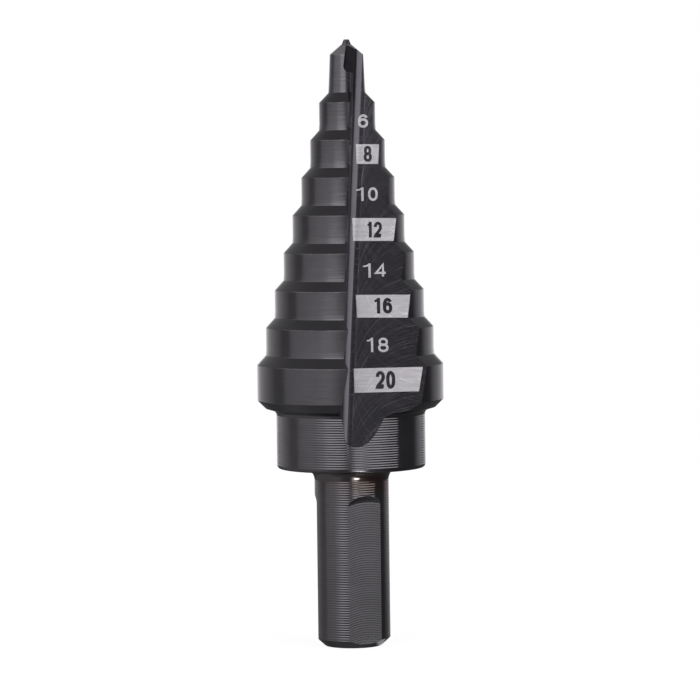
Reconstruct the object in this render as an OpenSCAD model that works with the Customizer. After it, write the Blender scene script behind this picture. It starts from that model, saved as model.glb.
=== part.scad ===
// Step drill turned and ground from one bar of tool steel. It stands on the
// end of its shank, with the axis on Z and the numbered flute facing -Y.

/* [Steps] */
// Diameter of the first step
first_step_d = 6; // [5:0.5:8]
// Growth in diameter from one step to the next
step_rise = 2; // [1:0.25:2.5]
// Number of steps
step_count = 8; // [5:1:10]
// Distance along the axis from one step to the next
step_pitch = 4; // [3:0.25:6]
// Length of the cone that leads in to each step
lead_len = 1.05; // [0.6:0.05:1.6]
// Length of the land on the widest step
last_land_len = 3.8; // [2:0.1:8]

/* [Pilot and point] */
// Diameter of the pilot at its foot
pilot_d = 4; // [3:0.1:4.6]
// Diameter of the pilot at the point's shoulder
pilot_tip_d = 3.7; // [2.8:0.1:4.5]
// Length of the pilot from the first step's cone to the shoulder
pilot_len = 4.2; // [2:0.1:8]
// Angle of the point from side to side
point_angle = 99; // [90:1:135]
// Diameter of the centring spur at its foot
spur_d = 0.96; // [0.6:0.02:1]
// Diameter of the spur's blunt end
spur_end_d = 0.56; // [0.2:0.02:0.58]
// Height of the spur
spur_h = 0.5; // [0.2:0.01:0.8]

/* [Point gashes] */
// Radius of the round foot of the gash that splits the point
gash_r = 0.68; // [0.4:0.02:0.8]
// Distance from the tip down to the middle of the gash's round foot
gash_len = 3.15; // [2:0.05:4]
// Side offset of the gash level with the tip
gash_side_top = 0.72; // [0.6:0.02:1]
// Side offset of the gash at its foot
gash_side_foot = 0.34; // [0:0.01:0.8]
// Distance from the axis to the gash's floor level with the tip
gash_floor_top = 0.5; // [0.45:0.05:0.8]
// Distance from the axis to the gash's floor at its foot
gash_floor_foot = 1.1; // [0.9:0.05:1.3]

/* [Flutes] */
// Root radius between a flute's floor and its gullet
root_r = 1; // [0.5:0.05:1.4]
// Radius of the gullet under the cutting edge
gullet_r = 1.8; // [1.5:0.05:2.4]
// Arc of the root radius before the gullet begins
root_arc = 35; // [20:1:60]
// Angle by which the cutting face hooks over the flute
hook_angle = 30; // [5:1:40]
// Turn of the flute's floor about the axis
face_turn = 3.5; // [0:0.5:10]
// Side offset of the root where the flute runs out of the collar
root_side_foot = -0.27; // [-1:0.01:0.5]
// Side offset of the root at the point's shoulder
root_side_top = 1.83; // [1.5:0.01:2.2]
// Web left between the two floors at the point's shoulder
web = 0.3; // [0:0.05:0.6]
// Height of the run-out above the collar's lower edge
runout_h = 2.9; // [1:0.1:4]

/* [Collar] */
// Diameter of the collar behind the widest step
collar_d = 16; // [12:0.5:17]
// Length of the collar
collar_len = 6.15; // [4:0.05:10]
// Width of the bevel under the widest step
under_bevel = 0.85; // [0.3:0.05:1.2]
// Height of the shallow cone from that bevel in to the collar
under_slope_h = 0.35; // [0.1:0.05:1]
// Radius of the collar's lower edge
collar_edge_r = 0.4; // [0.1:0.05:0.8]
// Fillet between the collar and the cone above it
collar_fillet_r = 0.55; // [0.1:0.05:0.8]

/* [Shank] */
// Diameter of the shank
shank_d = 8; // [6:0.5:10]
// Length of the shank from its end to the collar
shank_len = 19.2; // [15:0.1:40]
// Fillet where the shank meets the collar
neck_fillet_r = 0.5; // [0.2:0.05:1]
// Height of the bevel on the shank's end
end_bevel_h = 0.85; // [0.3:0.05:1.5]
// Width of the bevel on the shank's end
end_bevel_w = 0.95; // [0.3:0.05:1.5]

/* [Shank flats] */
// Number of flats round the shank
flat_count = 3; // [3:1:4]
// Depth of each flat below the round of the shank
flat_depth = 0.45; // [0.2:0.05:0.7]
// Length of the flats from the shank's end
flat_len = 15.7; // [8:0.1:17]
// Radius of the mill's flat face
flat_mill_r = 6; // [4:0.5:12]
// Corner radius of the mill
flat_corner_r = 0.8; // [0.75:0.05:2]
// Side offset of the mill from the middle of the flat
flat_mill_side = 0.3; // [-3:0.1:3]
// Turn of the first flat from the front
flat_turn = 21.7; // [-60:0.1:60]

/* [Hidden] */
$fn = 96;

shank_r = shank_d / 2;
collar_r = collar_d / 2;
pilot_r = pilot_d / 2;
pilot_tip_r = pilot_tip_d / 2;
spur_r = spur_d / 2;
last_step_r = first_step_d / 2 + (step_count - 1) * step_rise / 2;

// Heights from the shank's end up to the tip
collar_top_z = shank_len + collar_len;
bevel_foot_z = collar_top_z + under_slope_h;
last_land_z = bevel_foot_z + under_bevel;
last_corner_z = last_land_z + last_land_len;
pilot_foot_z = last_corner_z + (step_count - 1) * step_pitch + lead_len;
shoulder_z = pilot_foot_z + pilot_len;
spur_foot_z = shoulder_z + (pilot_tip_r - spur_r) / tan(point_angle / 2);
tip_z = spur_foot_z + spur_h;

// Reach of every cutter past the metal that it removes
clear = 2 * last_step_r;
// Largest turn between two points on an arc of the flute's section
arc_step = 5;
// Turn that keeps the start of each turned surface clear of the ground ones
blank_turn = 45;

function step_r(i) = first_step_d / 2 + i * step_rise / 2;
function corner_z(i) = last_corner_z + (step_count - 1 - i) * step_pitch;
function r_before(i) = i == 0 ? pilot_r : step_r(i - 1);

// Corners of the square that a fillet's circle is cut from
function fillet_square(x, z, r) = [[x + r, z], [x + r, z - r], [x, z - r]];

// Half of the turned outline, from the tip down to the shank's end
module turned_outline() {
    leads = [for (i = [0 : step_count - 1])
        each [[r_before(i), corner_z(i) + lead_len], [step_r(i), corner_z(i)]]];
    polygon(concat(
        [[0, tip_z], [spur_end_d / 2, tip_z], [spur_r, spur_foot_z], [pilot_tip_r, shoulder_z]],
        leads,
        [[last_step_r, last_land_z], [last_step_r - under_bevel, bevel_foot_z]],
        fillet_square(collar_r, collar_top_z, collar_fillet_r),
        [[collar_r, shank_len]],
        fillet_square(shank_r, shank_len, neck_fillet_r),
        [[shank_r, end_bevel_h], [shank_r - end_bevel_w, 0], [0, 0]]));
}

module turned_blank() {
    rotate_extrude() difference() {
        turned_outline();
        translate([collar_r + collar_fillet_r, collar_top_z - collar_fillet_r]) circle(collar_fillet_r);
        translate([shank_r + neck_fillet_r, shank_len - neck_fillet_r]) circle(neck_fillet_r);
        translate([collar_r - collar_edge_r, shank_len]) difference() {
            square(collar_edge_r);
            translate([0, collar_edge_r]) circle(collar_edge_r);
        }
    }
}

// A cutter's outline is drawn across its path, with the metal below and to
// the left. It is swept from one point to another, each given as side
// offset, distance in front of the axis and height.
module swept_cut(foot, top, turn) {
    side = top[0] - foot[0];
    inward = foot[1] - top[1];
    rise = top[2] - foot[2];
    side_run = side * cos(turn) + inward * sin(turn);
    inward_run = inward * cos(turn) - side * sin(turn);
    lean = atan2(side_run, rise);
    slope = atan2(inward_run * cos(lean), rise);
    translate([foot[0], -foot[1], foot[2]])
        rotate([-slope, lean, turn])
        mirror([0, 1, 0])
        translate([0, 0, -clear])
        linear_extrude(norm([side, inward, rise]) + 2 * clear) children();
}

// Points along an arc. Angles turn clockwise from straight down.
function arc_points(at, r, from, to) = let (count = ceil((to - from) / arc_step))
    [for (i = [0 : count]) let (a = from + (to - from) * i / count) at - r * [sin(a), cos(a)]];

// Flute section: flat floor, root radius, gullet and straight hooked face
module flute_section() {
    root_at = [0, root_r];
    gullet_at = root_at + (gullet_r - root_r) * [sin(root_arc), cos(root_arc)];
    root = arc_points(root_at, root_r, 0, root_arc);
    gullet = arc_points(gullet_at, gullet_r, root_arc, 90 + hook_angle);
    hook_foot = gullet[len(gullet) - 1];
    hook_top = hook_foot + clear * [tan(hook_angle), 1];
    polygon(concat([for (i = [0 : len(root) - 2]) root[i]], gullet,
        [hook_top, [2 * clear, hook_top[1]], [2 * clear, 0]]));
}

module flute_cut() {
    foot_z = shank_len + runout_h;
    swept_cut([root_side_foot, collar_r - root_side_foot * tan(face_turn), foot_z],
        [root_side_top, web / 2 - root_side_top * tan(face_turn), shoulder_z], face_turn)
        flute_section();
}

// Round-footed gash down the front of the point and pilot, with a flat floor
module gash_cut() {
    lean = atan2(gash_side_top - gash_side_foot, gash_len);
    tilt = atan2(gash_floor_foot - gash_floor_top, gash_len);
    translate([gash_side_foot, -gash_floor_foot, tip_z - gash_len])
        rotate([90 - tilt, 0, 0])
        linear_extrude(clear)
        rotate(-lean)
        polygon(concat(arc_points([0, 0], gash_r, -90, 90), [[-gash_r, clear], [gash_r, clear]]));
}

// Outline of the mill from its axis, with its face on X
module mill_outline() {
    square([flat_mill_r, clear]);
    translate([0, flat_corner_r]) square([flat_mill_r + flat_corner_r, clear - flat_corner_r]);
    translate([flat_mill_r, flat_corner_r]) circle(flat_corner_r);
}

// Milled flat with the round end that the mill leaves
module flat_cut() {
    mill_z = flat_len - flat_mill_r;
    translate([0, -(shank_r - flat_depth), 0]) {
        translate([-clear, -clear, -clear]) cube([2 * clear, clear, clear + mill_z]);
        translate([flat_mill_side, 0, mill_z]) rotate([90, 0, 0]) rotate_extrude() mill_outline();
    }
}

module step_drill() {
    color([0.17, 0.17, 0.18])
    difference() {
        rotate(blank_turn) turned_blank();
        for (half_turn = [0, 180]) rotate([0, 0, half_turn]) {
            flute_cut();
            gash_cut();
        }
        for (i = [0 : flat_count - 1]) rotate([0, 0, flat_turn + i * 360 / flat_count]) flat_cut();
    }
}

step_drill();
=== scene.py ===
"""The finish of a step drill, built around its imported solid.

The drill's sizes are in millimetres, as they are on its drawing, and its
meshes are brought to metres when they are done. The studio is in metres.
"""
from math import atan2, ceil, copysign, cos, pi, radians, sin, sqrt, tan

import bmesh
import bpy
from mathutils import Matrix, Vector


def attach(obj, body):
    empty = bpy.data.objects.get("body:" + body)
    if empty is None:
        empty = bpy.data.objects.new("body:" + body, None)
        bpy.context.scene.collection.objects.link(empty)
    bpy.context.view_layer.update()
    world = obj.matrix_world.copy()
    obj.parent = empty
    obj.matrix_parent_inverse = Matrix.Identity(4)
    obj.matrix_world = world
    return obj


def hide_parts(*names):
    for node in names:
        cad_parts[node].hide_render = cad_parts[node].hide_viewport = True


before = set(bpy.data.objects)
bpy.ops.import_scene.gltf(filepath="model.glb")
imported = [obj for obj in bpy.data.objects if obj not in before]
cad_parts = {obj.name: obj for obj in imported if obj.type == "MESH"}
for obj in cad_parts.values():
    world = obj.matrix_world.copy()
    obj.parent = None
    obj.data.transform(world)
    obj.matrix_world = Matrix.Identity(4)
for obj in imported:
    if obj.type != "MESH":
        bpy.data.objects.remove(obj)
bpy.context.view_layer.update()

MM = 0.001

# Steps
FIRST_STEP_R = 3.0
STEP_RISE = 1.0
STEP_COUNT = 8
STEP_PITCH = 4.0
LEAD_LEN = 1.05
LAST_LAND_LEN = 3.8

# Pilot and point, with the pilot as slim as it is after finishing
PILOT_R = 1.94
PILOT_TIP_R = 1.79
PILOT_LEN = 4.2
POINT_ANGLE = radians(99)
SPUR_R = 0.48
SPUR_END_R = 0.28
SPUR_H = 0.5
GASH_R = 0.68
GASH_LEN = 3.15
GASH_SIDE_TOP = 0.72
GASH_SIDE_FOOT = 0.34
GASH_FLOOR_TOP = 0.5
GASH_FLOOR_FOOT = 1.1

# Flutes
FLUTE_COUNT = 2
ROOT_R = 1.0
GULLET_R = 1.8
ROOT_ARC = radians(35)
HOOK_ANGLE = radians(30)
FACE_TURN = radians(3.5)
ROOT_SIDE_FOOT = -0.27
ROOT_SIDE_TOP = 1.83
WEB = 0.3
RUNOUT_H = 2.9

# Collar and shank
COLLAR_R = 8.0
COLLAR_LEN = 6.15
UNDER_BEVEL = 0.85
UNDER_SLOPE_H = 0.35
COLLAR_EDGE_R = 0.4
COLLAR_FILLET_R = 0.55
SHANK_R = 4.0
SHANK_LEN = 19.2
NECK_FILLET_R = 1.3
END_BEVEL_H = 0.85
END_BEVEL_W = 0.95
FLAT_COUNT = 3
FLAT_DEPTH = 0.45
FLAT_LEN = 15.7
FLAT_MILL_R = 6.0
FLAT_CORNER_R = 0.8
FLAT_MILL_SIDE = 0.3
FLAT_TURN = radians(21.7)

# Heights from the shank's end up to the tip
COLLAR_TOP_Z = SHANK_LEN + COLLAR_LEN
BEVEL_FOOT_Z = COLLAR_TOP_Z + UNDER_SLOPE_H
LAST_LAND_Z = BEVEL_FOOT_Z + UNDER_BEVEL
LAST_CORNER_Z = LAST_LAND_Z + LAST_LAND_LEN
LAST_STEP_R = FIRST_STEP_R + (STEP_COUNT - 1) * STEP_RISE
PILOT_FOOT_Z = LAST_CORNER_Z + (STEP_COUNT - 1) * STEP_PITCH + LEAD_LEN
SHOULDER_Z = PILOT_FOOT_Z + PILOT_LEN
SPUR_FOOT_Z = SHOULDER_Z + (PILOT_TIP_R - SPUR_R) / tan(POINT_ANGLE / 2)
TIP_Z = SPUR_FOOT_Z + SPUR_H
REACH = 2 * LAST_STEP_R
MILL_CENTRE = (FLAT_MILL_SIDE, -(SHANK_R - FLAT_DEPTH), FLAT_LEN - FLAT_MILL_R)

# Small radii that the turned edges are broken to
EDGE_R = 0.06
FILLET_R = 0.1
# Swell at the foot of each land, where the wheel leaves its corner
SWELL = 0.05
SWELL_LEN = 0.7
# How far the sharpened point has gone down from its full height, and its
# heights now
POINT_SET = 0.12
POINT_SHOULDER_Z = SHOULDER_Z - POINT_SET
POINT_SPUR_Z = SPUR_FOOT_Z - POINT_SET
POINT_TIP_Z = TIP_Z - POINT_SET
# Meshing: facets round the axis, largest turn between two facets of an edge
# round and of a gullet, and the width of the band that keeps a round's
# shading to itself
SEGMENTS = 256
ARC_STEP = radians(12)
GULLET_STEP = radians(2.5)
GUARD = 0.03
# Points nearer than this are one
WELD = 0.0001
# Faces wider than this are flat ones, in square millimetres, and edges that
# turn less than this are smooth
FLAT_AREA = 8.0
SMOOTH_ANGLE = radians(20)


def step_r(i):
    return FIRST_STEP_R + i * STEP_RISE


def corner_z(i):
    return LAST_CORNER_Z + (STEP_COUNT - 1 - i) * STEP_PITCH


# Node helpers

def plug(tree, socket, value):
    """Links a socket to another one, or sets its value."""
    if isinstance(value, bpy.types.NodeSocket):
        tree.links.new(value, socket)
    else:
        socket.default_value = value


def add_node(tree, kind, sockets=None, **settings):
    """A new node with its settings and its sockets filled in."""
    node = tree.nodes.new(kind)
    for name, value in settings.items():
        setattr(node, name, value)
    for name, value in (sockets or {}).items():
        plug(tree, node.inputs[name], value)
    return node


def add(tree, kind, sockets=None, **settings):
    """The first output of a new node."""
    return add_node(tree, kind, sockets, **settings).outputs[0]


def shader_math(tree, operation, a, b=0.0, c=0.0):
    return add(tree, "ShaderNodeMath", {0: a, 1: b, 2: c}, operation=operation)


def plus(tree, a, b):
    return shader_math(tree, "ADD", a, b)


def minus(tree, a, b):
    return shader_math(tree, "SUBTRACT", a, b)


def times(tree, value, *others):
    """The product of two values or more."""
    for other in others:
        value = shader_math(tree, "MULTIPLY", value, other)
    return value


def int_math(tree, operation, a, b):
    return add(tree, "FunctionNodeIntegerMath", {0: a, 1: b}, operation=operation)


def vector_math(tree, operation, a, b=(0, 0, 0)):
    return add(tree, "ShaderNodeVectorMath", {0: a, 1: b}, operation=operation)


def dot(tree, a, b):
    return add_node(tree, "ShaderNodeVectorMath", {0: a, 1: b}, operation="DOT_PRODUCT").outputs["Value"]


def noise(tree, vector, scale, detail=2.0, roughness=0.5):
    """Noise from 0 to 1, with a mean of a half."""
    return add(tree, "ShaderNodeTexNoise", {
        "Vector": vector, "Scale": scale, "Detail": detail, "Roughness": roughness})


def remap(tree, value, low, high, to_low=0.0, to_high=1.0, smooth=False):
    kind = "SMOOTHSTEP" if smooth else "LINEAR"
    return add(tree, "ShaderNodeMapRange", {0: value, 1: low, 2: high, 3: to_low, 4: to_high},
               interpolation_type=kind)


def combine(tree, x, y, z):
    return add(tree, "ShaderNodeCombineXYZ", {0: x, 1: y, 2: z})


def separate(tree, vector):
    return tuple(add_node(tree, "ShaderNodeSeparateXYZ", {0: vector}).outputs)


def mix_value(tree, factor, a, b):
    return add(tree, "ShaderNodeMix", {"Factor": factor, 2: a, 3: b}, data_type="FLOAT")


def mix_colour(tree, factor, a, b):
    return add_node(tree, "ShaderNodeMix", {"Factor": factor, 6: a, 7: b}, data_type="RGBA").outputs[2]


def scale_vector(tree, vector, value):
    """A vector or a colour times a value."""
    return add(tree, "ShaderNodeVectorMath", {0: vector, 3: value}, operation="SCALE")


def vector_length(tree, vector):
    return add_node(tree, "ShaderNodeVectorMath", {0: vector}, operation="LENGTH").outputs["Value"]


def spread(tree, field, low, high):
    """A noise brought to a range of its own."""
    return remap(tree, field, 0.3, 0.7, low, high)


def away_from(tree, value, middle, near, far, inside, outside, smooth=False):
    """One value near a middle, and another one away from it."""
    away = shader_math(tree, "ABSOLUTE", minus(tree, value, middle))
    return remap(tree, away, near, far, inside, outside, smooth)


def rim_height(tree, across, radius):
    """How far a round rim reaches ahead of its axis at an offset across."""
    left = minus(tree, times(tree, radius, radius), times(tree, across, across))
    return shader_math(tree, "SQRT", shader_math(tree, "MAXIMUM", left, 0.05))


def use_group(tree, group, values):
    """A copy of a node group in a tree, and its outputs by name."""
    kind = "ShaderNodeGroup" if group.bl_idname == "ShaderNodeTree" else "GeometryNodeGroup"
    return add_node(tree, kind, values, node_tree=group).outputs


def new_group(name, kind, inputs, outputs):
    """An empty node group with named sockets, and its two end nodes."""
    tree = bpy.data.node_groups.new(name, kind)
    for label, holds, *value in inputs:
        socket = tree.interface.new_socket(label, in_out="INPUT", socket_type="NodeSocket" + holds)
        if value:
            socket.default_value = value[0]
    for label, holds in outputs:
        tree.interface.new_socket(label, in_out="OUTPUT", socket_type="NodeSocket" + holds)
    return tree, tree.nodes.new("NodeGroupInput").outputs, tree.nodes.new("NodeGroupOutput").inputs


# Outlines and cutters

def rounded_outline(corners):
    """Points of an outline given as corners of (x, z, radius)."""
    points = []
    for i, (x, z, radius) in enumerate(corners):
        here = Vector((x, z))
        if not radius:
            points.append(here)
            continue
        before = (Vector(corners[i - 1][:2]) - here).normalized()
        after = (Vector(corners[i + 1][:2]) - here).normalized()
        turn = pi - before.angle(after)
        reach = radius * tan(turn / 2)
        centre = here + (before + after).normalized() * radius / cos(turn / 2)
        start = here + before * reach - centre
        swing = start.angle_signed(here + after * reach - centre)
        count = ceil(turn / ARC_STEP)
        points.append(here + before * (reach + GUARD))
        for k in range(count + 1):
            points.append(centre + Matrix.Rotation(-swing * k / count, 2) @ start)
        points.append(here + after * (reach + GUARD))
    return points


def turned_corners():
    """Half of the turned outline, from the tip down to the shank's end."""
    corners = [(0, POINT_TIP_Z, 0), (SPUR_END_R, POINT_TIP_Z, EDGE_R / 2), (SPUR_R, POINT_SPUR_Z, 0)]
    corners.append((PILOT_TIP_R, POINT_SHOULDER_Z, EDGE_R / 2))
    below = PILOT_R
    for i in range(STEP_COUNT):
        foot_z = corner_z(i) + LEAD_LEN
        corners.append((below, foot_z + SWELL_LEN, 0))
        corners.append((below + SWELL, foot_z, FILLET_R))
        corners.append((step_r(i), corner_z(i), EDGE_R))
        below = step_r(i)
    corners.append((LAST_STEP_R, LAST_LAND_Z, FILLET_R))
    corners.append((LAST_STEP_R - UNDER_BEVEL, BEVEL_FOOT_Z, EDGE_R))
    corners.append((COLLAR_R, COLLAR_TOP_Z, COLLAR_FILLET_R))
    corners.append((COLLAR_R, SHANK_LEN, COLLAR_EDGE_R))
    corners.append((SHANK_R, SHANK_LEN, NECK_FILLET_R))
    corners.append((SHANK_R, END_BEVEL_H, EDGE_R))
    corners.append((SHANK_R - END_BEVEL_W, 0, EDGE_R))
    corners.append((0, 0, 0))
    return corners


def chain_object(name, points):
    """A chain of edges through points of (x, z)."""
    mesh = bpy.data.meshes.new(name)
    edges = [(i, i + 1) for i in range(len(points) - 1)]
    mesh.from_pydata([(x, 0, z) for x, z in points], edges, [])
    return bpy.data.objects.new(name, mesh)


def shape_object(name, shape):
    """An object made of a shape, which isn't used again."""
    mesh = bpy.data.meshes.new(name)
    shape.to_mesh(mesh)
    shape.free()
    return bpy.data.objects.new(name, mesh)


def prism_object(name, outline, low, high, place):
    """A closed prism over an outline of (x, y), from low to high, then placed."""
    count = len(outline)
    points = [place @ Vector((x, y, z)) for z in (low, high) for x, y in outline]
    faces = [tuple(range(count)), tuple(range(count, 2 * count))]
    for i in range(count):
        j = (i + 1) % count
        faces.append((i, j, count + j, count + i))
    shape = bmesh.new()
    corners = [shape.verts.new(p) for p in points]
    for face in faces:
        shape.faces.new([corners[k] for k in face])
    bmesh.ops.recalc_face_normals(shape, faces=shape.faces)
    return shape_object(name, shape)


def sweep_place(foot, top, turn):
    """Where a section goes that is swept from foot to top, and the length.

    Both ends are (side offset, distance in front of the axis, height). The
    section's Y points out of the metal.
    """
    side, inward, rise = top[0] - foot[0], foot[1] - top[1], top[2] - foot[2]
    side_run = side * cos(turn) + inward * sin(turn)
    inward_run = inward * cos(turn) - side * sin(turn)
    lean = atan2(side_run, rise)
    slope = atan2(inward_run * cos(lean), rise)
    place = Matrix.Translation((foot[0], -foot[1], foot[2]))
    place = place @ Matrix.Rotation(turn, 4, "Z") @ Matrix.Rotation(lean, 4, "Y")
    place = place @ Matrix.Rotation(-slope, 4, "X") @ Matrix.Diagonal((1, -1, 1, 1))
    return place, sqrt(side * side + inward * inward + rise * rise)


def arc_points(at, radius, low, high):
    """Points along an arc. Angles turn clockwise from straight down."""
    count = ceil((high - low) / GULLET_STEP)
    angles = [low + (high - low) * k / count for k in range(count + 1)]
    return [(at[0] - radius * sin(a), at[1] - radius * cos(a)) for a in angles]


def flute_place():
    foot_z = SHANK_LEN + RUNOUT_H
    foot = (ROOT_SIDE_FOOT, COLLAR_R - ROOT_SIDE_FOOT * tan(FACE_TURN), foot_z)
    top = (ROOT_SIDE_TOP, WEB / 2 - ROOT_SIDE_TOP * tan(FACE_TURN), SHOULDER_Z)
    return sweep_place(foot, top, FACE_TURN)


def flute_cutter():
    gullet_at = ((GULLET_R - ROOT_R) * sin(ROOT_ARC), ROOT_R + (GULLET_R - ROOT_R) * cos(ROOT_ARC))
    outline = arc_points((0, ROOT_R), ROOT_R, 0, ROOT_ARC)[:-1]
    outline += arc_points(gullet_at, GULLET_R, ROOT_ARC, pi / 2 + HOOK_ANGLE)
    hook_x, hook_y = outline[-1]
    outline.append((hook_x + REACH * tan(HOOK_ANGLE), hook_y + REACH))
    outline += [(2 * REACH, hook_y + REACH), (2 * REACH, 0)]
    place, length = flute_place()
    return prism_object("flute_cutter", outline, -REACH, length + REACH, place)


def gash_cutter():
    lean = atan2(GASH_SIDE_TOP - GASH_SIDE_FOOT, GASH_LEN)
    tilt = atan2(GASH_FLOOR_FOOT - GASH_FLOOR_TOP, GASH_LEN)
    outline = arc_points((0, 0), GASH_R, -pi / 2, pi / 2) + [(-GASH_R, REACH), (GASH_R, REACH)]
    place = Matrix.Translation((GASH_SIDE_FOOT, -GASH_FLOOR_FOOT, TIP_Z - GASH_LEN))
    place = place @ Matrix.Rotation(pi / 2 - tilt, 4, "X") @ Matrix.Rotation(-lean, 4, "Z")
    return prism_object("gash_cutter", outline, 0, REACH, place)


def flat_cutters():
    """The straight part of a milled flat, and the outline of its mill."""
    deep = Matrix.Translation(MILL_CENTRE) @ Matrix.Rotation(pi / 2, 4, "X")
    outline = [(-REACH, -REACH), (REACH, -REACH), (REACH, 0), (-REACH, 0)]
    straight = prism_object("flat_cutter", outline, 0, REACH, deep)
    corners = [(0, 0, 0), (FLAT_MILL_R + FLAT_CORNER_R, 0, FLAT_CORNER_R)]
    corners += [(FLAT_MILL_R + FLAT_CORNER_R, REACH, 0), (0, REACH, 0)]
    return straight, chain_object("mill_outline", rounded_outline(corners))


# Materials

# Marks that tools leave: the lathe's and the mill's feed, with the distance
# between two marks and their depth, and a stone's lines ahead of the collar
# and on what is behind it
FEED_PITCH = 0.258
FEED_DEPTH = 0.0075
MILL_PITCH = 0.25
MILL_DEPTH = 0.0026
STONE_DEPTH = 0.008
REAR_STONE_DEPTH = 0.003
# The grinding wheel's radius, and its axis across from the flute's root
WHEEL_R = 8.0
WHEEL_AWAY = 8.3
# Where the feed marks are rubbed down: the middle as a turn from the front,
# where the rubbed part ends and the sound part begins, and the depth in each
RUBBED_TURNS = [(-0.86, 0.34, 0.46, 0.3, 1.2), (0.95, 0.23, 0.33, 0.12, 1.0)]
# The hollow of the neck, which has no feed marks
HOLLOW_Z = SHANK_LEN - 0.55
# Width of the worn band at a step's corner, which is also a painted highlight
# along that corner, and the most that is worn off there
WEAR_AND_HIGHLIGHT_WIDTH = 0.13
WEAR_AND_HIGHLIGHT_SHARE = 0.35
# Half the width of a change from one finish to the next along the drill
FADE = 0.05
# Painted shade: the lands behind the front edge are coloured darker near the
# pilot. The heights and turns where that begins and is full, and how dark the
# painted shade is against the rest
PAINTED_SHADE_RISE = (PILOT_FOOT_Z - 9, PILOT_FOOT_Z - 5)
PAINTED_SHADE_START = (0.02, 0.1)
PAINTED_SHADE_END = (1.2, 1.1)
PAINTED_SHADE_LEVEL = 0.35
# Painted light: how much lighter the collar and shank are coloured than the rest
REAR_PAINTED_LIGHT = 1.16
# Where the heat's brown begins on the shank and is full, and where it ends
HEAT_RISE = (SHANK_LEN - 3.6, SHANK_LEN - 1.2)
HEAT_END = (SHANK_LEN + 2 * FADE, SHANK_LEN)
# Share of that brown from the left of the shank round to its right
HEAT_TURNS = (-0.5, 0.7)
HEAT_SHARES = (0.25, 1)
# Painted light: heights where a flute's floor begins to be coloured paler
# towards the point, and where it is palest
PAINTED_PALE_RISE = (LAST_CORNER_Z + 14, SHOULDER_Z)
# Depth of the wheel's marks in a flute, at its root and at its edge, and in
# the etched marks, and depth of the lines in a gash
FLUTE_MARK_DEPTHS = (0.006, 0.045)
ETCHED_MARK_DEPTH = 0.04
GASH_LINE_DEPTH = 0.006


def drawing_place_group():
    """Where a point of the drill is on its drawing, in millimetres."""
    tree, _, result = new_group(
        "drawing_place", "ShaderNodeTree", [],
        [("Place", "Vector"), ("Radius", "Float"), ("Height", "Float"), ("Turn", "Float")])
    metres = add_node(tree, "ShaderNodeTexCoord").outputs["Object"]
    place = scale_vector(tree, metres, 1 / MM)
    x, y, z = separate(tree, place)
    plug(tree, result["Place"], place)
    plug(tree, result["Radius"], vector_length(tree, combine(tree, x, y, 0)))
    plug(tree, result["Height"], z)
    plug(tree, result["Turn"], shader_math(tree, "ARCTAN2", x, times(tree, y, -1)))
    return tree


def feed_marks_group():
    """Feed marks of a tool, one ridge for each step of its travel."""
    tree, given, result = new_group(
        "feed_marks", "ShaderNodeTree",
        [("Place", "Vector"), ("Travel", "Float", 0.0), ("Pitch", "Float", 0.25), ("Depth", "Float", 0.004)],
        [("Relief", "Float")])
    worn = noise(tree, vector_math(tree, "MULTIPLY", given["Place"], (0.25, 0.25, 1.6)), 1.0)
    wander = spread(tree, worn, -0.35, 0.35)
    turns = shader_math(tree, "DIVIDE", given["Travel"], given["Pitch"])
    phase = shader_math(tree, "MULTIPLY_ADD", turns, 2 * pi, wander)
    strength = spread(tree, worn, 0.6, 1.15)
    plug(tree, result["Relief"], times(tree, shader_math(tree, "SINE", phase), strength, given["Depth"]))
    return tree


def fine_lines_group():
    """Fine lines that a stone or polishing cloth leaves round the work."""
    tree, given, result = new_group(
        "fine_lines", "ShaderNodeTree",
        [("Place", "Vector"), ("Lines", "Float", 9.0), ("Length", "Float", 3.0)],
        [("Relief", "Float"), ("Shade", "Float")])
    x, y, z = separate(tree, given["Place"])
    along_x = shader_math(tree, "DIVIDE", x, given["Length"])
    along_y = shader_math(tree, "DIVIDE", y, given["Length"])
    lines = noise(tree, combine(tree, along_x, along_y, times(tree, z, given["Lines"])), 1.0, 3, 0.6)
    broad = noise(tree, combine(tree, along_x, along_y, times(tree, z, 1.7)), 1.0, 2)
    plug(tree, result["Relief"], lines)
    plug(tree, result["Shade"], mix_value(tree, 0.5, lines, broad))
    return tree


def wheel_marks_group():
    """Arcs that the rim of a wheel or mill leaves on a flat, both ways."""
    tree, given, result = new_group(
        "wheel_marks", "ShaderNodeTree",
        [("Across", "Float", 0.0), ("Along", "Float", 0.0), ("Wheel Radius", "Float", 6.0),
         ("Lines", "Float", 5.0), ("Return Share", "Float", 0.5), ("Run", "Float", 0.5)],
        [("Relief", "Float"), ("Scratches", "Float")])
    rise = rim_height(tree, given["Across"], given["Wheel Radius"])
    run = times(tree, given["Across"], given["Run"])
    fields = []
    for k, operation in enumerate(("SUBTRACT", "ADD")):
        arc = times(tree, shader_math(tree, operation, given["Along"], rise), given["Lines"])
        fields.append(noise(tree, combine(tree, arc, run, 7.3 * k), 1.0, 2.5))
    sharp = [remap(tree, field, 0.58, 0.67) for field in fields]
    plug(tree, result["Relief"], mix_value(tree, given["Return Share"], *fields))
    plug(tree, result["Scratches"], mix_value(tree, given["Return Share"], *sharp))
    return tree


def smudges_group():
    """Uneven oxide and oil: broad patches and a fine grain."""
    tree, given, result = new_group(
        "smudges", "ShaderNodeTree", [("Place", "Vector"), ("Size", "Float", 3.0)],
        [("Patches", "Float"), ("Grain", "Float")])
    size = given["Size"]
    scaled = vector_math(tree, "DIVIDE", given["Place"], combine(tree, size, size, size))
    plug(tree, result["Patches"], noise(tree, scaled, 1.0, 3, 0.55))
    plug(tree, result["Grain"], noise(tree, given["Place"], 14.0, 2, 0.6))
    return tree


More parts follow.
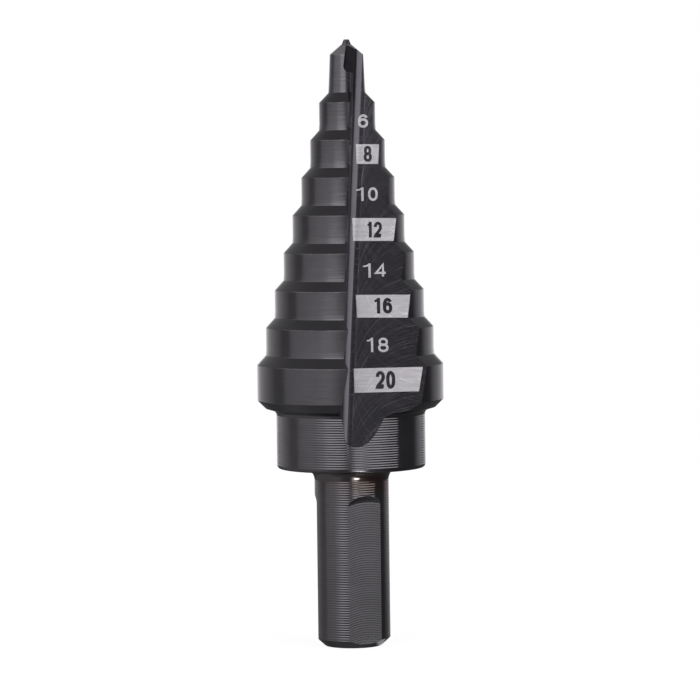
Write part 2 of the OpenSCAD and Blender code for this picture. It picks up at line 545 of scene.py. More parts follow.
def corner_wear_group():
    """Rubbed oxide along the front corner of each step, and a painted highlight there."""
    tree, given, result = new_group(
        "corner_wear", "ShaderNodeTree",
        [("Place", "Vector"), ("Radius", "Float", 0.0), ("Height", "Float", 0.0), ("Width", "Float", 0.12)],
        [("Wear", "Float")])
    level = shader_math(tree, "MULTIPLY_ADD", given["Height"], 1 / STEP_PITCH, -LAST_CORNER_Z / STEP_PITCH)
    step = shader_math(tree, "MAXIMUM", shader_math(tree, "ROUND", level), 0)
    step = shader_math(tree, "MINIMUM", step, STEP_COUNT - 1)
    dz = times(tree, minus(tree, level, step), STEP_PITCH)
    corner_r = shader_math(tree, "MULTIPLY_ADD", step, -STEP_RISE, LAST_STEP_R)
    dr = minus(tree, given["Radius"], corner_r)
    away = vector_length(tree, combine(tree, dr, dz, 0))
    near = remap(tree, away, 0, given["Width"], 1, 0, smooth=True)
    rubbed = remap(tree, noise(tree, given["Place"], 1.3, 4, 0.7), 0.4, 0.65)
    plug(tree, result["Wear"], times(tree, near, rubbed, WEAR_AND_HIGHLIGHT_SHARE))
    return tree


drawing_place = drawing_place_group()
feed_marks = feed_marks_group()
fine_lines = fine_lines_group()
wheel_marks = wheel_marks_group()
smudges = smudges_group()
corner_wear = corner_wear_group()

# Colours of the finishes
OXIDE = (0.112, 0.109, 0.114)
GROUND_OXIDE = (0.104, 0.100, 0.110)
MILLED_OXIDE = (0.127, 0.126, 0.13)
NECK_BROWN = (0.12, 0.092, 0.077)
FLANK_OXIDE = (0.4, 0.39, 0.4)
# Bare steel of the worn corners, which also serves as their painted highlight
RUBBED_STEEL_AND_HIGHLIGHT = (0.3, 0.295, 0.29)
# The gashes' oxide, coloured darker still as painted shade in the recess
GASH_OXIDE_AND_SHADE = (0.035, 0.033, 0.037)
ETCHED_STEEL = (0.63, 0.622, 0.63)


def start_material(name, metallic=1.0):
    """A new material, its tree, its skin's sockets and the place on the drawing."""
    material = bpy.data.materials.new(name)
    material.use_nodes = True
    tree = material.node_tree
    skin = tree.nodes["Principled BSDF"].inputs
    skin["Metallic"].default_value = metallic
    return material, tree, skin, use_group(tree, drawing_place, {})


def relief(tree, skin, height):
    """Gives a surface a relief whose height is in millimetres."""
    bump = add(tree, "ShaderNodeBump", {"Height": height, "Strength": 1.0, "Distance": MM})
    plug(tree, skin["Normal"], bump)


def turned_feed(tree, at, behind):
    """The lathe's feed marks, from the collar down."""
    rings = use_group(tree, feed_marks, {
        "Place": at["Place"], "Travel": at["Height"], "Pitch": FEED_PITCH, "Depth": FEED_DEPTH})["Relief"]
    fresh = away_from(tree, at["Height"], HOLLOW_Z, 0.5, 0.7, 0, 1)
    for middle, near, far, worn, kept in RUBBED_TURNS:
        fresh = times(tree, fresh, away_from(tree, at["Turn"], middle, near, far, worn, kept, smooth=True))
    return times(tree, rings, behind, fresh)


def turned_shade(tree, at, behind, lines, blots):
    """How light or dark the oxide is, and painted shade behind the front edge."""
    # Painted shade on the lands just behind the front edge, near the pilot
    painted_shade = times(tree, remap(tree, at["Turn"], *PAINTED_SHADE_START), remap(tree, at["Turn"], *PAINTED_SHADE_END),
                   remap(tree, at["Height"], *PAINTED_SHADE_RISE))
    streaks = spread(tree, lines["Shade"], 0.94, 1.06)
    stains = spread(tree, blots["Patches"], 0.95, 1.05)
    # The collar and shank get painted light: they are coloured lighter than the lands
    return times(tree, streaks, stains, mix_value(tree, painted_shade, 1, PAINTED_SHADE_LEVEL),
                 mix_value(tree, behind, 1, REAR_PAINTED_LIGHT))


def turned_material():
    """Lands, cones, collar and shank."""
    material, tree, skin, at = start_material("turned_oxide")
    lines = use_group(tree, fine_lines, {"Place": at["Place"], "Lines": 4.5, "Length": 4.0})
    blots = use_group(tree, smudges, {"Place": at["Place"], "Size": 2.6})
    wear_and_highlight = use_group(tree, corner_wear, {
        "Place": at["Place"], "Radius": at["Radius"], "Height": at["Height"], "Width": WEAR_AND_HIGHLIGHT_WIDTH})["Wear"]
    behind = remap(tree, at["Height"], COLLAR_TOP_Z + FADE, COLLAR_TOP_Z - 2 * FADE)
    stone = times(tree, lines["Relief"], mix_value(tree, behind, STONE_DEPTH, REAR_STONE_DEPTH))
    relief(tree, skin, plus(tree, turned_feed(tree, at, behind), stone))
    colour = scale_vector(tree, OXIDE, turned_shade(tree, at, behind, lines, blots))
    heated = times(tree, remap(tree, at["Height"], *HEAT_RISE, smooth=True),
                   remap(tree, at["Height"], *HEAT_END),
                   remap(tree, at["Turn"], *HEAT_TURNS, *HEAT_SHARES, smooth=True))
    colour = mix_colour(tree, heated, colour, NECK_BROWN + (1,))
    flank = times(tree, remap(tree, at["Height"], POINT_SHOULDER_Z - FADE, POINT_SHOULDER_Z + FADE),
                  remap(tree, at["Height"], POINT_SPUR_Z, POINT_SPUR_Z - 2 * FADE, 0.05, 1))
    colour = mix_colour(tree, flank, colour, FLANK_OXIDE + (1,))
    # Worn corners show bare steel, which also paints a highlight along them
    plug(tree, skin["Base Color"], mix_colour(tree, wear_and_highlight, colour, RUBBED_STEEL_AND_HIGHLIGHT + (1,)))
    satin = shader_math(tree, "MULTIPLY_ADD", flank, 0.3, spread(tree, blots["Patches"], 0.13, 0.17))
    plug(tree, skin["Roughness"], shader_math(tree, "MULTIPLY_ADD", blots["Grain"], 0.03, satin))
    return material


def flute_axes(tree, place):
    """Offsets across and along a flute."""
    x, y, z = separate(tree, place)
    half_turn = times(tree, shader_math(tree, "SIGN", y), -1)
    turned = combine(tree, times(tree, x, half_turn), times(tree, y, half_turn), z)
    swept = flute_place()[0]
    local = vector_math(tree, "SUBTRACT", turned, tuple(swept.translation))
    return [dot(tree, local, tuple(swept.col[k].to_3d())) for k in (0, 2)]


def flute_marks(tree, across, along, lines, back, run):
    """Marks of the wheel that ground a flute."""
    return use_group(tree, wheel_marks, {
        "Across": minus(tree, across, WHEEL_AWAY), "Along": along,
        "Wheel Radius": WHEEL_R, "Lines": lines, "Return Share": back, "Run": run})


def ground_material():
    """Floor, root and gullet of a flute."""
    material, tree, skin, at = start_material("ground_oxide")
    across, along = flute_axes(tree, at["Place"])
    marks = flute_marks(tree, across, along, 5.5, 0.35, 0.2)
    blots = use_group(tree, smudges, {"Place": at["Place"], "Size": 3.5})
    relief(tree, skin, times(tree, marks["Relief"], remap(tree, across, 0, 4, *FLUTE_MARK_DEPTHS)))
    floor_share = remap(tree, across, -0.2, 0.05)
    # Painted light: the floor is coloured paler towards the point
    painted_paler = remap(tree, at["Height"], *PAINTED_PALE_RISE, 1, 1.7)
    strokes = times(tree, marks["Scratches"], remap(tree, across, 1, 4, 1.6, 0.55), floor_share)
    shade = times(tree, spread(tree, blots["Patches"], 0.92, 1.08),
                  mix_value(tree, floor_share, 0.85, painted_paler),
                  shader_math(tree, "MULTIPLY_ADD", strokes, 0.85, 0.88))
    plug(tree, skin["Base Color"], scale_vector(tree, GROUND_OXIDE, shade))
    plug(tree, skin["Roughness"], spread(tree, blots["Grain"], 0.17, 0.23))
    return material


def milled_material():
    """Flats of the shank."""
    material, tree, skin, at = start_material("milled_oxide")
    from_first = minus(tree, at["Turn"], FLAT_TURN)
    share = 2 * pi / FLAT_COUNT
    nearest = times(tree, shader_math(tree, "ROUND", shader_math(tree, "DIVIDE", from_first, share)), share)
    inside = minus(tree, from_first, nearest)
    across = times(tree, at["Radius"], shader_math(tree, "SINE", inside))
    beside = minus(tree, across, FLAT_MILL_SIDE)
    travel = minus(tree, at["Height"], rim_height(tree, beside, FLAT_MILL_R))
    marks = use_group(tree, feed_marks, {
        "Place": at["Place"], "Travel": travel, "Pitch": MILL_PITCH, "Depth": MILL_DEPTH})
    blots = use_group(tree, smudges, {"Place": at["Place"], "Size": 3.0})
    relief(tree, skin, marks["Relief"])
    shade = spread(tree, blots["Patches"], 0.94, 1.06)
    plug(tree, skin["Base Color"], scale_vector(tree, MILLED_OXIDE, shade))
    plug(tree, skin["Roughness"], spread(tree, blots["Grain"], 0.2, 0.27))
    return material


def point_material():
    """Gashes of the point, in oxide coloured darker as painted shade in the recess."""
    material, tree, skin, at = start_material("point_oxide")
    blots = use_group(tree, smudges, {"Place": at["Place"], "Size": 0.9})
    lines = use_group(tree, fine_lines, {"Place": at["Place"], "Lines": 6.0, "Length": 1.0})
    relief(tree, skin, times(tree, lines["Relief"], GASH_LINE_DEPTH))
    shade = spread(tree, blots["Patches"], 0.85, 1.1)
    # Painted shade: the gash is coloured much darker than the other oxide
    plug(tree, skin["Base Color"], scale_vector(tree, GASH_OXIDE_AND_SHADE, shade))
    plug(tree, skin["Roughness"], spread(tree, blots["Grain"], 0.22, 0.3))
    return material


def etched_material():
    """Size numbers and patches, where the oxide is taken off."""
    material, tree, skin, at = start_material("etched_steel", metallic=0.4)
    across, along = flute_axes(tree, at["Place"])
    marks = flute_marks(tree, across, along, 4.2, 0.45, 0.6)
    lines = use_group(tree, fine_lines, {"Place": at["Place"], "Lines": 6.0, "Length": 2.5})
    relief(tree, skin, times(tree, marks["Relief"], ETCHED_MARK_DEPTH))
    shade = times(tree, spread(tree, lines["Relief"], 0.86, 1.12),
                  mix_value(tree, marks["Scratches"], 0.95, 1.3))
    plug(tree, skin["Base Color"], scale_vector(tree, ETCHED_STEEL, shade))
    skin["Roughness"].default_value = 0.5
    return material


turned_finish = turned_material()
ground_finish = ground_material()
milled_finish = milled_material()
point_finish = point_material()
etched_finish = etched_material()


# The drill: turned, then ground and milled

def revolve_group():
    """Turns an outline in XZ round the Z axis into a closed mesh."""
    tree, given, result = new_group(
        "turn_on_axis", "GeometryNodeTree", [("Outline", "Geometry"), ("Segments", "Int", 64)],
        [("Mesh", "Geometry")])
    count = add_node(tree, "GeometryNodeAttributeDomainSize", {0: given["Outline"]}).outputs["Point Count"]
    columns = int_math(tree, "ADD", given["Segments"], 1)
    grid = add(tree, "GeometryNodeMeshGrid", {"Vertices X": columns, "Vertices Y": count})
    index = add(tree, "GeometryNodeInputIndex")
    row = int_math(tree, "MODULO", index, count)
    column = int_math(tree, "DIVIDE_FLOOR", index, count)
    angle = times(tree, shader_math(tree, "DIVIDE", column, given["Segments"]), 2 * pi)
    position = add(tree, "GeometryNodeInputPosition")
    point = add(tree, "GeometryNodeSampleIndex", {
        "Geometry": given["Outline"], "Value": position, "Index": row}, data_type="FLOAT_VECTOR")
    turned = add(tree, "ShaderNodeVectorRotate", {"Vector": point, "Angle": angle},
                 rotation_type="Z_AXIS")
    placed = add(tree, "GeometryNodeSetPosition", {"Geometry": grid, "Position": turned})
    merged = add(tree, "GeometryNodeMergeByDistance", {"Geometry": placed, "Distance": WELD})
    plug(tree, result["Mesh"], add(tree, "GeometryNodeFlipFaces", {"Mesh": merged}))
    return tree


def ring_group():
    """Copies a cutter round the axis and gives the copies one finish."""
    tree, given, result = new_group(
        "cutters_round_axis", "GeometryNodeTree",
        [("Cutter", "Geometry"), ("Count", "Int", 2), ("First Turn", "Float", 0.0), ("Finish", "Material")],
        [("Cutters", "Geometry")])
    points = add(tree, "GeometryNodePoints", {"Count": given["Count"]})
    index = add(tree, "GeometryNodeInputIndex")
    share = shader_math(tree, "DIVIDE", 2 * pi, given["Count"])
    rotation = combine(tree, 0, 0, shader_math(tree, "MULTIPLY_ADD", index, share, given["First Turn"]))
    finished = add(tree, "GeometryNodeSetMaterial", {
        "Geometry": given["Cutter"], "Material": given["Finish"]})
    copies = add(tree, "GeometryNodeInstanceOnPoints", {
        "Points": points, "Instance": finished, "Rotation": rotation})
    plug(tree, result["Cutters"], copies)
    return tree


def drill_group():
    """The whole drill from its outline and its cutters."""
    objects = ["Flute Cutter", "Gash Cutter", "Flat Cutter", "Mill Outline"]
    finishes = ["Turned Finish", "Ground Finish", "Point Finish", "Milled Finish"]
    inputs = [("Outline", "Geometry"), ("Segments", "Int", SEGMENTS),
              ("Flutes", "Int", FLUTE_COUNT), ("Flats", "Int", FLAT_COUNT),
              ("Flat Turn", "Float", FLAT_TURN), ("Mill Centre", "Vector", MILL_CENTRE),
              ("Flat Area", "Float", FLAT_AREA)]
    inputs += [(name, "Object") for name in objects]
    inputs += [(name, "Material") for name in finishes]
    tree, given, result = new_group("ground_drill", "GeometryNodeTree", inputs, [("Drill", "Geometry")])
    turn_on_axis, cutters_round_axis = revolve_group(), ring_group()

    def shape_of(name):
        return add_node(tree, "GeometryNodeObjectInfo", {"Object": given[name]}).outputs["Geometry"]

    def revolve(outline):
        return use_group(tree, turn_on_axis, {"Outline": outline, "Segments": given["Segments"]})[0]

    def ring(cutter, count, finish, first_turn=0.0):
        return use_group(tree, cutters_round_axis, {
            "Cutter": cutter, "Count": count, "First Turn": first_turn, "Finish": given[finish]})[0]

    mill = add(tree, "GeometryNodeFlipFaces", {"Mesh": revolve(shape_of("Mill Outline"))})
    placed_mill = add(tree, "GeometryNodeTransform", {
        "Geometry": mill, "Translation": given["Mill Centre"], "Rotation": (pi / 2, 0, 0)})
    cutters = [
        ring(shape_of("Flute Cutter"), given["Flutes"], "Ground Finish"),
        ring(shape_of("Gash Cutter"), given["Flutes"], "Point Finish"),
        ring(shape_of("Flat Cutter"), given["Flats"], "Milled Finish", given["Flat Turn"]),
        ring(placed_mill, given["Flats"], "Milled Finish", given["Flat Turn"]),
    ]
    cut = add_node(tree, "GeometryNodeMeshBoolean", {"Mesh 1": revolve(given["Outline"])},
                   operation="DIFFERENCE", solver="MANIFOLD")
    for cutter in cutters:
        tree.links.new(cutter, cut.inputs["Mesh 2"])
    metres = add(tree, "GeometryNodeTransform", {"Geometry": cut.outputs[0], "Scale": (MM, MM, MM)})
    area = add(tree, "GeometryNodeInputMeshFaceArea")
    limit = times(tree, given["Flat Area"], MM * MM)
    curved = add(tree, "FunctionNodeCompare", {"A": area, "B": limit}, operation="LESS_THAN")
    smooth = add(tree, "GeometryNodeSetShadeSmooth", {"Geometry": metres, "Shade Smooth": curved})
    edge_angle = add_node(tree, "GeometryNodeInputMeshEdgeAngle").outputs["Unsigned Angle"]
    gentle = add(tree, "FunctionNodeCompare", {
        "A": edge_angle, "B": SMOOTH_ANGLE}, operation="LESS_THAN")
    shaded = add(tree, "GeometryNodeSetShadeSmooth", {
        "Geometry": smooth, "Shade Smooth": gentle}, domain="EDGE")
    whole = add(tree, "GeometryNodeRealizeInstances", {"Geometry": shaded})
    untouched = None
    for name in finishes[1:]:
        found = add(tree, "GeometryNodeMaterialSelection", {"Material": given[name]})
        other = add(tree, "FunctionNodeBooleanMath", {0: found}, operation="NOT")
        untouched = other if untouched is None else add(
            tree, "FunctionNodeBooleanMath", {0: untouched, 1: other}, operation="AND")
    finished = add(tree, "GeometryNodeSetMaterial", {
        "Geometry": whole, "Selection": untouched, "Material": given["Turned Finish"]})
    plug(tree, result["Drill"], finished)
    return tree


def run_tree(holder, tree, values):
    """Runs a tree on an object and returns the result as a plain mesh object."""
    bpy.context.scene.collection.objects.link(holder)
    modifier = holder.modifiers.new(tree.name, "NODES")
    modifier.node_group = tree
    for item in tree.interface.items_tree:
        if item.in_out == "INPUT" and item.name in values:
            modifier[item.identifier] = values[item.name]
    bpy.context.view_layer.update()
    evaluated = holder.evaluated_get(bpy.context.evaluated_depsgraph_get())
    mesh = bpy.data.meshes.new_from_object(evaluated)
    holder.modifiers.remove(modifier)
    while mesh.materials and mesh.materials[0] is None:
        mesh.materials.pop(index=0)
    name = holder.name
    bpy.data.objects.remove(holder)
    piece = bpy.data.objects.new(name, mesh)
    mesh.name = name
    bpy.context.scene.collection.objects.link(piece)
    return piece


def make_drill():
    straight, mill = flat_cutters()
    values = {
        "Flute Cutter": flute_cutter(), "Gash Cutter": gash_cutter(),
        "Flat Cutter": straight, "Mill Outline": mill,
        "Turned Finish": turned_finish, "Ground Finish": ground_finish,
        "Point Finish": point_finish, "Milled Finish": milled_finish,
        "Segments": SEGMENTS, "Flutes": FLUTE_COUNT, "Flats": FLAT_COUNT, "Flat Turn": FLAT_TURN,
        "Mill Centre": MILL_CENTRE, "Flat Area": FLAT_AREA,
    }
    holder = chain_object("blackened_drill", rounded_outline(turned_corners()))
    return run_tree(holder, drill_group(), values)


drill = make_drill()
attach(drill, "root")
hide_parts("step_drill")


# Size numbers on the front flute. A place on the flute is given across from
# its root and along from its foot.

# A number's first corner across and along, its height, the width of a digit,
# the gap between two and the width of their lines
NUMBERS = {
    6: (-0.27, 34.19, 1.45, 1.07, 0.3, 0.26), 8: (0.46, 30.51, 1.74, 0.88, 0.2, 0.31),
    10: (-0.15, 26.27, 1.45, 1.04, 0.47, 0.25), 12: (1.2, 22.37, 1.70, 0.88, 0.21, 0.32),
    14: (0.87, 18.05, 1.51, 1.30, 0.42, 0.25), 16: (2.22, 14.26, 1.68, 1.0, 0.28, 0.36),
    18: (1.57, 10.11, 1.53, 1.11, 0.51, 0.24), 20: (2.65, 6.24, 1.90, 0.98, 0.11, 0.37),
}
# Bright patches: their corners from the lower left, round the patch
PATCHES = {
    8: [(-0.29, 30.26), (2.00, 30.37), (2.03, 32.51), (-0.45, 32.39)],
    12: [(-0.36, 21.94), (3.96, 22.16), (4.14, 24.62), (-0.54, 24.39)],
    16: [(0.39, 13.75), (5.75, 14.0), (5.93, 16.47), (0.15, 16.16)],
    20: [(0.43, 5.72), (7.22, 6.21), (7.54, 8.82), (0.23, 8.29)],
}
# Height of a mark's face over the flute, and how far it is let in
MARK_FACE = 0.012
MARK_DEPTH = 0.05
# Width of the 1 in each number, and its flag's line as a share of the stem's
ONE_WIDE = {10: 0.77, 12: 0.44, 14: 0.81, 16: 0.61, 18: 0.67}
FLAG_SHARE = 0.7
FLAG = [(0, 0.79), (0.5, 0.82), (0.98, 0.95)]
# Turn of the numbers from the flute's own line
NUMBER_TURN = radians(3)
# Distance between the cuts that let a mark bend over the flute's root, and
# the number of them
BEND_STEP = 0.06
BEND_COUNT = 10
# Degrees between two points of an oval, and the power that makes its sides
# slightly straight, where 1 would give a true oval
OVAL_STEP = 15
OVAL_POWER = 0.88


def oval(x, y, half_wide, half_high, start, end):
    """Points round an oval with slightly straight sides, between two angles in degrees."""
    count = ceil(abs(end - start) / OVAL_STEP)
    points = []
    for k in range(count + 1):
        angle = radians(start + (end - start) * k / count)
        side, rise = [copysign(abs(part) ** OVAL_POWER, part) for part in (cos(angle), sin(angle))]
        points.append((x + half_wide * side, y + half_high * rise))
    return points


# Lines of each digit in a box of width and height 1. A line that ends where
# it begins is a closed one.
DIGITS = {
    "0": [oval(0.5, 0.5, 0.5, 0.5, 0, 360)],
    "1": [[(1, 0), (1, 1)]],
    "2": [oval(0.5, 0.7, 0.5, 0.3, 180, -20) + [(0.62, 0.36), (0.1, 0.1), (0, 0.0), (1, 0)],
          [(-0.1, 0.08), (1.1, 0.08)]],
    "4": [[(0.72, 0), (0.72, 1), (0.02, 0.3), (1, 0.3)]],
    "6": [oval(0.5, 0.32, 0.5, 0.32, 0, 360), oval(0.52, 0.5, 0.52, 0.5, 35, 190)],
    "8": [oval(0.5, 0.75, 0.43, 0.25, 0, 360), oval(0.5, 0.26, 0.5, 0.26, 0, 360)],
}


def add_line(shape, path, width, face):
    """Adds a bar of even width and stated face along a path of (across, along)."""
    points = [Vector(p) for p in path]
    closed = (points[0] - points[-1]).length < WELD
    if closed:
        points.pop()
    count = len(points)
    rings = []
    for i, point in enumerate(points):
        before = point - points[i - 1] if closed or i > 0 else points[1] - point
        after = points[(i + 1) % count] - point if closed or i < count - 1 else before
        before, after = before.normalized(), after.normalized()
        heading = (before + after).normalized()
        side = Vector((-heading.y, heading.x)) * width / 2 / max(heading.dot(after), 0.5)
        corners = [(point + side, face), (point - side, face), (point - side, -MARK_DEPTH),
                   (point + side, -MARK_DEPTH)]
        rings.append([shape.verts.new((p.x, out, p.y)) for p, out in corners])
    for i in range(count if closed else count - 1):
        here, there = rings[i], rings[(i + 1) % count]
        for k in range(4):
            shape.faces.new([here[k], here[(k + 1) % 4], there[(k + 1) % 4], there[k]])
    if not closed:
        shape.faces.new(rings[0])
        shape.faces.new(rings[-1])


def finish_shape(shape, name):
    """Cuts a shape where the flute's root bends, and makes it an object."""
    for k in range(BEND_COUNT):
        parts = list(shape.verts) + list(shape.edges) + list(shape.faces)
        bmesh.ops.bisect_plane(shape, geom=parts, plane_co=(-BEND_STEP * k, 0, 0), plane_no=(1, 0, 0))
    bmesh.ops.recalc_face_normals(shape, faces=shape.faces)
    return shape_object(name, shape)


def number_object(number):
    """The digits of a size number."""
    side, foot, height, wide, gap, line = NUMBERS[number]
    # Digits that are cut out of a patch reach well past its face
    face = 3 * MARK_FACE if number in PATCHES else MARK_FACE
    shape = bmesh.new()
    offset = 0
    for digit in str(number):
        digit_wide = ONE_WIDE[number] if digit == "1" else wide
        ends = 0 if digit == "1" else line / 2
        lines = [(path, line, line / 2) for path in DIGITS[digit]]
        if digit == "1":
            lines.append((FLAG, line * FLAG_SHARE, 0))
        for path, bar, inset in lines:
            placed = []
            for x, y in path:
                across = offset + inset + x * (digit_wide - line / 2 - inset)
                along = ends + y * (height - 2 * ends)
                placed.append((side + across * cos(NUMBER_TURN) - along * sin(NUMBER_TURN),
                               foot + across * sin(NUMBER_TURN) + along * cos(NUMBER_TURN)))
            add_line(shape, placed, bar, face)
        offset += digit_wide + gap
    return finish_shape(shape, "size_%d" % number)


def patch_object(number):
    """The bright patch that a size number is left dark in."""
    shape = bmesh.new()
    low = [shape.verts.new((x, -MARK_DEPTH / 2, z)) for x, z in PATCHES[number]]
    high = [shape.verts.new((x, MARK_FACE, z)) for x, z in PATCHES[number]]
    shape.faces.new(low)
    shape.faces.new(high)
    for i in range(4):
        j = (i + 1) % 4
        shape.faces.new((low[i], low[j], high[j], high[i]))
    return finish_shape(shape, "patch_%d" % number)


def mark_group():
    """A number, or a patch with a number left out of it, laid over the root."""
    tree, given, result = new_group(
        "size_mark", "GeometryNodeTree",
        [("Digits", "Geometry"), ("Patch", "Object"), ("Root Radius", "Float", ROOT_R),
         ("Finish", "Material")],
        [("Mark", "Geometry")])
    patch = add_node(tree, "GeometryNodeObjectInfo", {"Object": given["Patch"]}).outputs["Geometry"]
    cut = add_node(tree, "GeometryNodeMeshBoolean", {"Mesh 1": patch, "Self Intersection": True},
                   operation="DIFFERENCE", solver="EXACT")
    joined = add_node(tree, "GeometryNodeMeshBoolean", {"Self Intersection": True},
                      operation="UNION", solver="EXACT")
    for node in (cut, joined):
        tree.links.new(given["Digits"], node.inputs["Mesh 2"])
    corners = add_node(tree, "GeometryNodeAttributeDomainSize", {0: patch}).outputs["Point Count"]
    patched = add(tree, "FunctionNodeCompare", {"A": corners, "B": 0.5}, operation="GREATER_THAN")
    chosen = add(tree, "GeometryNodeSwitch", {
        "Switch": patched, "False": joined.outputs[0], "True": cut.outputs[0]},
        input_type="GEOMETRY")
    place = add(tree, "GeometryNodeInputPosition")
    inside = shader_math(tree, "MINIMUM", separate(tree, place)[0], 0)
    radius = given["Root Radius"]
    left = minus(tree, times(tree, radius, radius), times(tree, inside, inside))
    lift = combine(tree, 0, minus(tree, radius, shader_math(tree, "SQRT", left)), 0)
    laid = add(tree, "GeometryNodeSetPosition", {"Geometry": chosen, "Offset": lift})
    whole = add(tree, "GeometryNodeRealizeInstances", {"Geometry": laid})
    finished = add(tree, "GeometryNodeSetMaterial", {"Geometry": whole, "Material": given["Finish"]})
    plug(tree, result["Mark"], finished)
    return tree


def make_marks():
    """Every number and patch, put on the front flute.

    The flute's frame is a mirrored one, so the meshes are turned right side
    out again.
    """
    size_mark = mark_group()
    place = Matrix.Scale(MM, 4) @ flute_place()[0]
    for number in NUMBERS:
        values = {"Root Radius": ROOT_R, "Finish": etched_finish}
        if number in PATCHES:
            values["Patch"] = patch_object(number)
        mark = run_tree(number_object(number), size_mark, values)
        mark.data.transform(place)
        mark.data.flip_normals()
        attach(mark, "root")


make_marks()


# Floor, light and camera

FLOOR_R = 0.22
FLOOR_SEGMENTS = 96
FLOOR_GLOW = 0.93
FLOOR_GREY = 0.16
# The shank's foot mirrors the floor's white close by, on its front right: the
# share, and where that fades in from outside, from the left and from behind
FOOT_SHINE = 0.7
SHINE_REACH = (9 * MM, 6 * MM)
SHINE_RIGHT = (2.4 * MM, 2.9 * MM)
SHINE_FRONT = (0, -0.8 * MM)


def grey(level):
    return (level, level, level, 1)


def make_floor():
    """A small pale disc. Metal sees the studio through it, except close to the foot."""
    shape = bmesh.new()
    bmesh.ops.create_circle(shape, cap_ends=True, segments=FLOOR_SEGMENTS, radius=FLOOR_R)
    floor = shape_object("studio_floor", shape)
    bpy.context.scene.collection.objects.link(floor)
    material = bpy.data.materials.new("floor_white")
    material.use_nodes = True
    tree = material.node_tree
    tree.nodes.clear()
    paths = add_node(tree, "ShaderNodeLightPath").outputs
    place = add_node(tree, "ShaderNodeTexCoord").outputs["Object"]
    x, y, _ = separate(tree, place)
    beside = times(tree, remap(tree, vector_length(tree, place), *SHINE_REACH),
                   remap(tree, x, *SHINE_RIGHT), remap(tree, y, *SHINE_FRONT))
    mirrored = times(tree, paths["Is Glossy Ray"], beside)
    seen = plus(tree, paths["Is Camera Ray"], paths["Is Transmission Ray"])
    seen = shader_math(tree, "MULTIPLY_ADD", mirrored, FOOT_SHINE, seen)
    glow = add(tree, "ShaderNodeEmission", {"Strength": times(tree, seen, FLOOR_GLOW)})
    matte = add(tree, "ShaderNodeBsdfDiffuse", {"Color": grey(FLOOR_GREY)})
    both = add(tree, "ShaderNodeAddShader", {0: glow, 1: matte})
    through = add(tree, "ShaderNodeBsdfTransparent")
    open_share = minus(tree, paths["Is Glossy Ray"], mirrored)
    surface = add(tree, "ShaderNodeMixShader", {0: open_share, 1: both, 2: through})
    add_node(tree, "ShaderNodeOutputMaterial", {"Surface": surface})
    floor.data.materials.append(material)


# Brightness round the drill, as (degrees right of the camera, level), in
# three belts of height: below the drill, level with it and above it
STUDIO_LOW = [
    (-180, 0.08), (-150, 0.1), (-130, 0.3), (-60, 0.4), (-45, 0.4), (-32, 0.25), (-8, 0.15),
    (0, 0.3), (5, 1.9), (17, 1.7), (25, 0.3), (60, 0.1), (180, 0.09),
]
STUDIO_LEVEL = [
    (-180, 1.2), (-165, 0.85), (-150, 0.68), (-130, 0.6), (-112, 0.4), (-108, 0.27), (-92, 0.27),
    (-87, 0.6), (-60, 0.74), (-45, 0.76), (-36, 0.88), (-24, 0.9), (-12, 0.5), (-4, 0.32), (1, 0.42),
    (9, 1.2), (20, 1.8), (29, 1.0), (42, 1.15), (52, 0.8), (60, 0.4), (68, 0.16), (80, 0.1),
    (115, 0.1), (125, 0.45), (150, 0.8), (165, 1.05), (180, 1.2),
]
STUDIO_RAISED = [
    (-180, 0.5), (-165, 0.3), (-112, 0.3), (-88, 1.0), (-45, 1.2), (-36, 2.1), (-12, 2.1),
    (-5, 0.6), (0, 0.17), (16, 0.17), (22, 0.7), (28, 2.2), (87, 2.0), (93, 0.12),
    (110, 0.14), (130, 0.3), (160, 0.2), (180, 0.5),
]
# Brightness over the belts and under them
OVERHEAD = 0.27
BENEATH = 0.2
# Where the low and raised belts and these two take over from the level belt:
# the Z of a direction at which each fade begins and ends
LOW_FADE = (-0.08, -0.16)
RAISED_FADE = (0.06, 0.12)
OVERHEAD_FADE = (0.5, 0.8)
BENEATH_FADE = (-0.75, -0.95)
# Tint of the studio's light
STUDIO_TINT = (1.0, 0.972, 1.02)
# A small lamp low in front, which shines in the hollow of the neck
LAMP_TURN = radians(17)
LAMP_RISE = radians(-41)
LAMP_LEVEL = 24
# Angles from its middle at which its light is full and ends
LAMP_CORE = radians(4)
LAMP_EDGE = radians(8)
# Metal mirrors the white backdrop straight behind the drill and level with it
BACKDROP_DEPTH = (0.9, 0.98)
BACKDROP_RISE = (0.11, 0.065)
# Camera: its distance, rise and roll, the height it looks at and its lens
CAMERA_DISTANCE = 0.36
CAMERA_RISE = radians(3.1)
CAMERA_ROLL = radians(0.7)
AIM_HEIGHT = 0.03184
LENS_ANGLE = radians(11.93)


def studio_belt(tree, share, levels):
    """Brightness of one belt at a share of the whole turn."""
    ramp = add_node(tree, "ShaderNodeValToRGB", {"Fac": share})
    stops = ramp.color_ramp.elements
    stops[0].color = grey(levels[0][1])
    stops[1].color = grey(levels[-1][1])
    for at, level in levels[1:-1]:
        stops.new(at / 360 + 0.5).color = grey(level)
    return ramp.outputs[0]


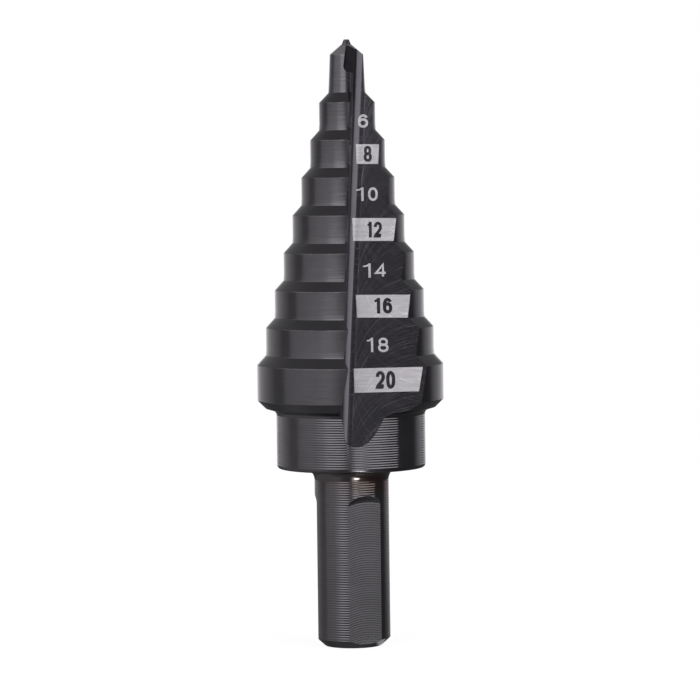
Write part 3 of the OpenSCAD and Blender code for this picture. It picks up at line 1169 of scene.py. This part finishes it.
def make_world():
    """White behind the drill, and softboxes on each side of the camera."""
    world = bpy.data.worlds.new("studio")
    bpy.context.scene.world = world
    world.use_nodes = True
    tree = world.node_tree
    tree.nodes.clear()
    direction = add_node(tree, "ShaderNodeTexCoord").outputs["Generated"]
    x, y, z = separate(tree, direction)
    azimuth = shader_math(tree, "ARCTAN2", x, times(tree, y, -1))
    share = shader_math(tree, "MULTIPLY_ADD", azimuth, 1 / (2 * pi), 0.5)
    low, body, raised = [
        studio_belt(tree, share, belt) for belt in (STUDIO_LOW, STUDIO_LEVEL, STUDIO_RAISED)]
    for fade, light in ((LOW_FADE, low), (RAISED_FADE, raised),
                        (OVERHEAD_FADE, grey(OVERHEAD)), (BENEATH_FADE, grey(BENEATH))):
        body = mix_colour(tree, remap(tree, z, *fade, smooth=True), body, light)
    lamp_place = (sin(LAMP_TURN) * cos(LAMP_RISE), -cos(LAMP_TURN) * cos(LAMP_RISE), sin(LAMP_RISE))
    lamp = remap(tree, dot(tree, direction, lamp_place), cos(LAMP_EDGE), cos(LAMP_CORE), 0, LAMP_LEVEL,
                 smooth=True)
    lit = vector_math(tree, "ADD", vector_math(tree, "MULTIPLY", body, STUDIO_TINT),
                      combine(tree, lamp, lamp, lamp))
    studio = add(tree, "ShaderNodeBackground", {"Color": lit})
    white = add(tree, "ShaderNodeBackground", {"Color": grey(1)})
    paths = add_node(tree, "ShaderNodeLightPath").outputs
    behind = remap(tree, y, *BACKDROP_DEPTH, smooth=True)
    level_share = remap(tree, shader_math(tree, "ABSOLUTE", z), *BACKDROP_RISE, smooth=True)
    mirrored = times(tree, paths["Is Glossy Ray"], behind, level_share)
    seen = plus(tree, paths["Is Camera Ray"], paths["Is Transmission Ray"])
    seen = plus(tree, seen, mirrored)
    both = add(tree, "ShaderNodeMixShader", {0: seen, 1: studio, 2: white})
    add_node(tree, "ShaderNodeOutputWorld", {"Surface": both})


def make_camera():
    """A long lens that looks slightly down on the middle of the drill."""
    camera = bpy.data.objects.new("camera", bpy.data.cameras.new("camera"))
    reach, rise = CAMERA_DISTANCE * cos(CAMERA_RISE), CAMERA_DISTANCE * sin(CAMERA_RISE)
    camera.location = (0, -reach, AIM_HEIGHT + rise)
    camera.rotation_mode = "ZYX"
    camera.rotation_euler = (pi / 2 - CAMERA_RISE, 0, -CAMERA_ROLL)
    camera.data.sensor_fit = "HORIZONTAL"
    camera.data.angle = LENS_ANGLE
    bpy.context.scene.collection.objects.link(camera)
    bpy.context.scene.camera = camera


make_floor()
make_world()
make_camera()
bpy.context.scene.view_settings.view_transform = "Standard"
